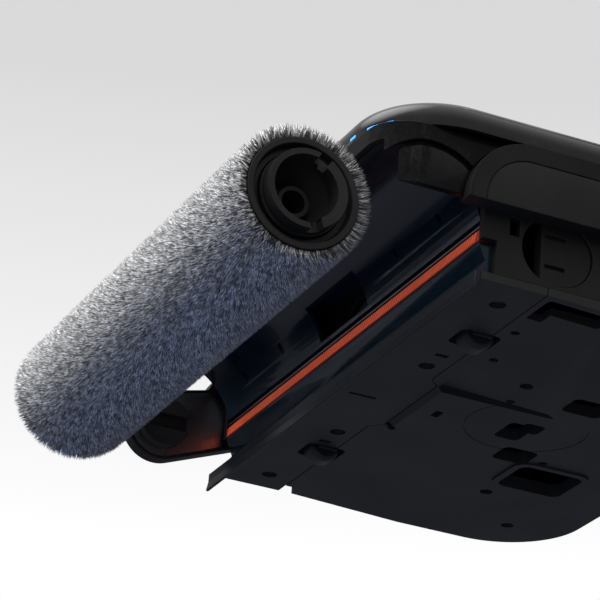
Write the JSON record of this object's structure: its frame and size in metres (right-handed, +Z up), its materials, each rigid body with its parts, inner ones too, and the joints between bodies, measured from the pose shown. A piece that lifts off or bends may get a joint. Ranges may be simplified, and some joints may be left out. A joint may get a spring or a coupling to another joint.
{
  "type": "upright wet and dry floor washer",
  "caption": "Upright wet and dry floor washer with a ribbed scraper, a tilting neck, lift-out tanks and its fluffy cleaning roller taken out in front of the head.",
  "frame": {"origin": "on the floor under the middle of the machine's box, roller included", "axes": "+Z up, -Y forwards, +X the machine's left side seen by its user"},
  "size_m": [0.256, 0.3736, 1.105],
  "materials": {
    "matte_black": "fine moulded grain",
    "sole_black": "satin moulded",
    "gloss_black": "piano gloss",
    "liner_gloss": "smoked gloss",
    "orange_rubber": "fine ribbed",
    "silver_trim": "bright",
    "blade_rubber": "smoky translucent lip",
    "led_blue": "light guide",
    "pile": "short microfibre and nylon pile",
    "cap_black": "satin moulded",
    "core_plastic": "extruded",
    "steel": "turned",
    "belt_rubber": "ribbed belt",
    "tyre": "soft tread",
    "wheel_grey": "satin",
    "body_graphite": "fine moulded grain",
    "tank_clear": "clear",
    "tank_smoke": "smoked clear",
    "filter_white": "pleated paper",
    "battery_blue": "shrink sleeve",
    "board_green": "solder mask",
    "alloy": "satin anodised",
    "grip_rubber": "soft touch",
    "display_glass": "dark lens"
  },
  "bodies": {
    "head": {"base_plate": "sole_black", "front_sole": "sole_black", "chassis": "matte_black", "top_shell": "gloss_black", "visor_skirt": "matte_black", "cheek_plate": "matte_black", "led_strip": "led_blue", "side_panel_left": "matte_black", "side_panel_right": "matte_black", "gearbox_plate": "steel", "belt_cover": "matte_black", "drive_belt": "belt_rubber", "roller_motor": "steel", "chamber_liner": "liner_gloss", "spray_bar": "core_plastic", "scraper_strip": "orange_rubber", "scraper_holder": "liner_gloss", "scraper_trim": "silver_trim", "squeegee_blade": "blade_rubber", "suction_duct": "core_plastic", "side_plugs": "matte_black", "caster_axles": "cap_black", "base_screws": "steel", "rear_brackets": "matte_black", "rear_axle": "steel", "neck_pins": "steel", "dock_contact_block": "matte_black"},
    "roller_carrier": {"roller_bearing_insert": "cap_black"},
    "roller": {"roller_pile": "pile", "roller_tube": "core_plastic", "roller_end_cap": "cap_black", "roller_drive_plug": "cap_black"},
    "drive_shaft": {"drive_dog": "cap_black", "drive_pulley": "steel"},
    "motor_drive": {"motor_pulley": "steel"},
    "caster_left": {"caster_wheel_left": "wheel_grey"},
    "caster_right": {"caster_wheel_right": "wheel_grey"},
    "wheel_left": {"rear_wheel_left": "wheel_grey", "rear_tyre_left": "tyre"},
    "wheel_right": {"rear_wheel_right": "wheel_grey", "rear_tyre_right": "tyre"},
    "neck": {"neck_yoke": "matte_black"},
    "upright": {"spine_housing": "body_graphite", "motor_cover": "gloss_black", "suction_motor": "steel", "battery_pack": "battery_blue", "control_board": "board_green", "water_pump": "core_plastic", "display_lens": "display_glass", "handle_tube": "alloy", "handle_grip": "grip_rubber"},
    "fan": {"fan_impeller": "core_plastic"},
    "latch": {"tank_latch": "wheel_grey"},
    "dirty_tank_body": {"dirty_tank": "tank_smoke", "dirty_tank_lid": "gloss_black", "filter_cartridge": "filter_white"},
    "clean_tank_body": {"clean_tank": "tank_clear"},
    "flap": {"filler_flap": "gloss_black"},
    "power_key": {"power_button": "orange_rubber"},
    "mode_key": {"mode_button": "wheel_grey"}
  },
  "joints": [
    {"name": "roller_slide", "type": "slide", "parent": "head", "child": "roller_carrier", "axis": [0, 1, 0], "range_m": [0, 0.042]},
    {"name": "roller_spin", "type": "hinge", "parent": "roller_carrier", "child": "roller", "pos_m": [0, -0.1585, 0.028], "axis": [1, 0, 0], "continuous": true},
    {"name": "drive_spin", "type": "hinge", "parent": "head", "child": "drive_shaft", "pos_m": [-0.122, -0.1165, 0.028], "axis": [1, 0, 0], "continuous": true},
    {"name": "motor_spin", "type": "hinge", "parent": "head", "child": "motor_drive", "pos_m": [-0.122, -0.0462, 0.05], "axis": [1, 0, 0], "continuous": true},
    {"name": "caster_left_spin", "type": "hinge", "parent": "head", "child": "caster_left", "pos_m": [0.069, -0.0642, 0.012], "axis": [1, 0, 0], "continuous": true},
    {"name": "caster_right_spin", "type": "hinge", "parent": "head", "child": "caster_right", "pos_m": [-0.069, -0.0642, 0.012], "axis": [1, 0, 0], "continuous": true},
    {"name": "wheel_left_spin", "type": "hinge", "parent": "head", "child": "wheel_left", "pos_m": [0.08, 0.1415, 0.03], "axis": [1, 0, 0], "continuous": true},
    {"name": "wheel_right_spin", "type": "hinge", "parent": "head", "child": "wheel_right", "pos_m": [-0.08, 0.1415, 0.03], "axis": [1, 0, 0], "continuous": true},
    {"name": "neck_tilt", "type": "hinge", "parent": "head", "child": "neck", "pos_m": [0, 0.1415, 0.05], "axis": [-1, 0, 0], "range_deg": [0, 70]},
    {"name": "neck_steer", "type": "hinge", "parent": "neck", "child": "upright", "pos_m": [0, 0.1305, 0.112], "axis": [0, 0, 1], "range_deg": [-45, 45]},
    {"name": "fan_spin", "type": "hinge", "parent": "upright", "child": "fan", "pos_m": [0, 0.1105, 0.418], "axis": [0, 0, 1], "continuous": true},
    {"name": "latch_press", "type": "slide", "parent": "upright", "child": "latch", "axis": [0, 1, 0], "range_m": [0, 0.0018], "stiffness_N_per_m": 800},
    {"name": "dirty_tank_slide", "type": "slide", "parent": "upright", "child": "dirty_tank_body", "axis": [0, -1, 0], "range_m": [0, 0.09]},
    {"name": "clean_tank_slide", "type": "slide", "parent": "upright", "child": "clean_tank_body", "axis": [0, -1, 0], "range_m": [0, 0.09]},
    {"name": "flap_hinge", "type": "hinge", "parent": "clean_tank_body", "child": "flap", "pos_m": [0, 0.0725, 0.661], "axis": [-1, 0, 0], "range_deg": [0, 100]},
    {"name": "power_press", "type": "slide", "parent": "upright", "child": "power_key", "axis": [0, -1, 0], "range_m": [0, 0.0015], "stiffness_N_per_m": 800},
    {"name": "mode_press", "type": "slide", "parent": "upright", "child": "mode_key", "axis": [0, -1, 0], "range_m": [0, 0.0015], "stiffness_N_per_m": 800}
  ],
  "couplings": [
    {"joint": "drive_spin", "follows": "roller_spin", "ratio": 1},
    {"joint": "motor_spin", "follows": "roller_spin", "ratio": 2}
  ]
}
